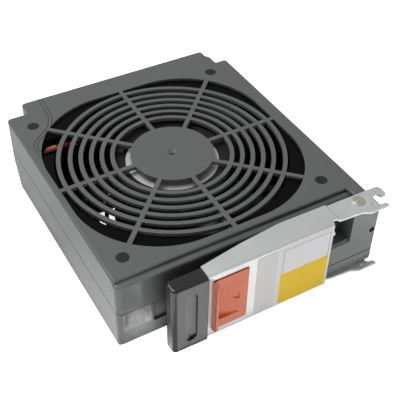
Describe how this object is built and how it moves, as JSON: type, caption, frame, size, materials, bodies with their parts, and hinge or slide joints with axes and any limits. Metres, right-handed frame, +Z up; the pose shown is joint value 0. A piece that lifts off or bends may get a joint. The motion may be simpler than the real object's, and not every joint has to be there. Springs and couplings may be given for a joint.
{
  "type": "server fan module",
  "caption": "Hot-swap server fan module: an axial fan in a two-part moulded housing with guards, drawn from its bay by a latched sheet-metal lever.",
  "frame": {"origin": "where the fan's axis meets the underside of the base, on the lower guard's centre disc", "axes": "+Z up along the fan's axis, +Y towards the rear connector, +X along the lever towards its pivot"},
  "size_m": [0.1351, 0.1637, 0.0433],
  "materials": {
    "housing_plastic": "fine-grained moulded",
    "fan_plastic": "moulded",
    "isolator_rubber": "matt",
    "clear_film": "clear film",
    "galvanised_sheet": "galvanised, bent",
    "rivet_steel": "yellow passivated",
    "grip_plastic": "moulded, satin",
    "latch_plastic": "moulded, satin",
    "paper_label": "coated paper",
    "motor_foil": "foil",
    "rotor_steel": "turned",
    "ferrite": "bonded magnet",
    "bearing_steel": "ground",
    "lamination_steel": "stamped stack",
    "copper_winding": "enamelled wire",
    "circuit_board": "laminate",
    "component_black": "moulded",
    "red_insulation": "lead insulation",
    "yellow_insulation": "lead insulation",
    "black_insulation": "lead insulation",
    "connector_plastic": "moulded",
    "contact_metal": "plated"
  },
  "bodies": {
    "module": {"top_cover": "housing_plastic", "base_shell": "housing_plastic", "top_isolators": "isolator_rubber", "bottom_isolators": "isolator_rubber", "clear_film": "clear_film", "fan_frame": "fan_plastic", "lower_bearing": "bearing_steel", "upper_bearing": "bearing_steel", "stator_core": "lamination_steel", "windings": "copper_winding", "circuit_board": "circuit_board", "board_parts": "component_black", "motor_label": "motor_foil", "red_lead": "red_insulation", "yellow_lead": "yellow_insulation", "black_lead": "black_insulation", "rear_connector": "connector_plastic", "connector_contacts": "contact_metal", "upper_rivet": "rivet_steel", "lower_rivet": "rivet_steel"},
    "lever": {"lever": "galvanised_sheet", "grip": "grip_plastic", "front_label": "paper_label", "latch_retainer": "grip_plastic"},
    "latch": {"latch_button": "latch_plastic", "latch_hook": "latch_plastic", "latch_spring": "bearing_steel"},
    "rotor": {"impeller": "fan_plastic", "rotor_cup": "rotor_steel", "rotor_magnet": "ferrite", "shaft": "bearing_steel", "shaft_clip": "component_black", "preload_spring": "rotor_steel"}
  },
  "joints": [
    {"name": "lever_swing", "type": "hinge", "parent": "module", "child": "lever", "pos_m": [0.0576, -0.0741, 0.0228], "axis": [0, 0, 1], "range_deg": [0, 45]},
    {"name": "latch_slide", "type": "slide", "parent": "lever", "child": "latch", "axis": [-1, 0, 0], "range_m": [0, 0.0018], "stiffness_N_per_m": 400, "springref_m": -0.002},
    {"name": "fan_spin", "type": "hinge", "parent": "module", "child": "rotor", "pos_m": [0, 0, 0.02], "axis": [0, 0, 1], "continuous": true}
  ]
}
